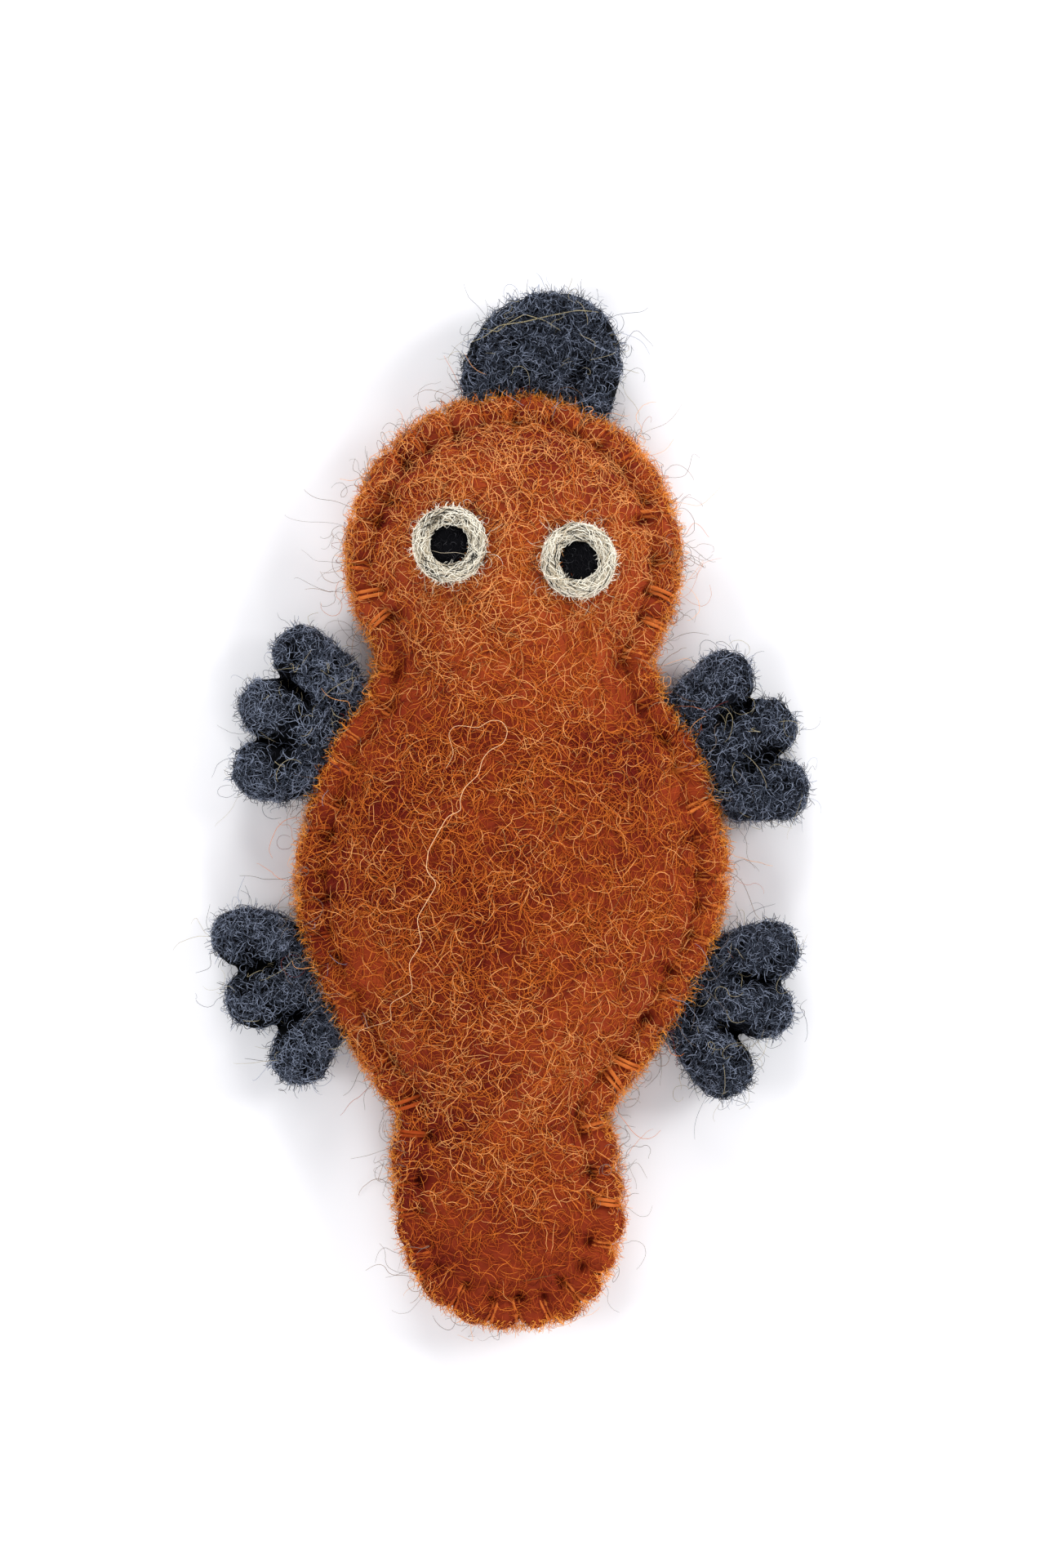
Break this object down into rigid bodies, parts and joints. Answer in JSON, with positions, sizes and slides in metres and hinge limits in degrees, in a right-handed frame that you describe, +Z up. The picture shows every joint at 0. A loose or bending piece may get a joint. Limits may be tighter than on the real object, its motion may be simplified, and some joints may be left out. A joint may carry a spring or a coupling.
{
  "type": "finger puppet",
  "caption": "Flat felt platypus finger puppet: front and back panels whipstitched round a finger pocket, with tucked-in bill and webbed feet, a flat tail and ringed eyes.",
  "frame": {"origin": "on the table, under the middle of the puppet's bounding box, with the puppet lying on its back panel", "axes": "+X towards the side of eye_white_right, +Y along the puppet towards the bill, +Z up out of the front panel"},
  "size_m": [0.072, 0.1278, 0.0131],
  "materials": {
    "body_felt": "fuzzy rust wool felt",
    "grey_felt": "fuzzy blue-grey wool felt",
    "eye_white_felt": "cream wool felt",
    "pupil_felt": "black wool felt",
    "thread": "rust wool yarn"
  },
  "bodies": {
    "torso": {"front_panel_torso": "body_felt", "back_panel_torso": "body_felt", "foot_tab_front_left": "grey_felt", "foot_tab_front_right": "grey_felt", "foot_tab_rear_left": "grey_felt", "foot_tab_rear_right": "grey_felt", "stitches_side_left": "thread", "stitches_side_right": "thread", "stitches_hip_left": "thread", "stitches_hip_right": "thread"},
    "head": {"front_panel_head": "body_felt", "back_panel_head": "body_felt", "bill_tab": "grey_felt", "eye_white_left": "eye_white_felt", "eye_white_right": "eye_white_felt", "pupil_left": "pupil_felt", "pupil_right": "pupil_felt", "stitches_head_left": "thread", "stitches_head_right": "thread"},
    "bill": {"bill": "grey_felt"},
    "tail": {"front_panel_tail": "body_felt", "back_panel_tail": "body_felt", "stitches_tail": "thread"},
    "foot_front_left": {"foot_front_left": "grey_felt"},
    "foot_front_right": {"foot_front_right": "grey_felt"},
    "foot_rear_left": {"foot_rear_left": "grey_felt"},
    "foot_rear_right": {"foot_rear_right": "grey_felt"}
  },
  "joints": [
    {"name": "head_nod", "type": "hinge", "parent": "torso", "child": "head", "pos_m": [0.00013, 0.01352, 0.0054], "axis": [1, 0, 0], "range_deg": [-25, 25], "stiffness_Nm_per_rad": 0.004},
    {"name": "tail_flap", "type": "hinge", "parent": "torso", "child": "tail", "pos_m": [0.00013, -0.03648, 0.005], "axis": [-1, 0, 0], "range_deg": [-25, 35], "stiffness_Nm_per_rad": 0.003},
    {"name": "bill_flap", "type": "hinge", "parent": "head", "child": "bill", "pos_m": [0.00293, 0.05284, 0.00375], "axis": [0.9914, -0.1305, 0], "range_deg": [-25, 35], "stiffness_Nm_per_rad": 0.001},
    {"name": "foot_front_left_flap", "type": "hinge", "parent": "torso", "child": "foot_front_left", "pos_m": [-0.02197, 0.00989, 0.00375], "axis": [0.4226, 0.9063, 0], "range_deg": [-30, 40], "stiffness_Nm_per_rad": 0.0006},
    {"name": "foot_front_right_flap", "type": "hinge", "parent": "torso", "child": "foot_front_right", "pos_m": [0.02325, 0.00822, 0.00375], "axis": [0.4067, -0.9135, 0], "range_deg": [-30, 40], "stiffness_Nm_per_rad": 0.0006},
    {"name": "foot_rear_left_flap", "type": "hinge", "parent": "torso", "child": "foot_rear_left", "pos_m": [-0.02466, -0.02085, 0.00375], "axis": [-0.342, 0.9397, 0], "range_deg": [-30, 40], "stiffness_Nm_per_rad": 0.0006},
    {"name": "foot_rear_right_flap", "type": "hinge", "parent": "torso", "child": "foot_rear_right", "pos_m": [0.02435, -0.0221, 0.00375], "axis": [-0.4067, -0.9135, 0], "range_deg": [-30, 40], "stiffness_Nm_per_rad": 0.0006}
  ]
}
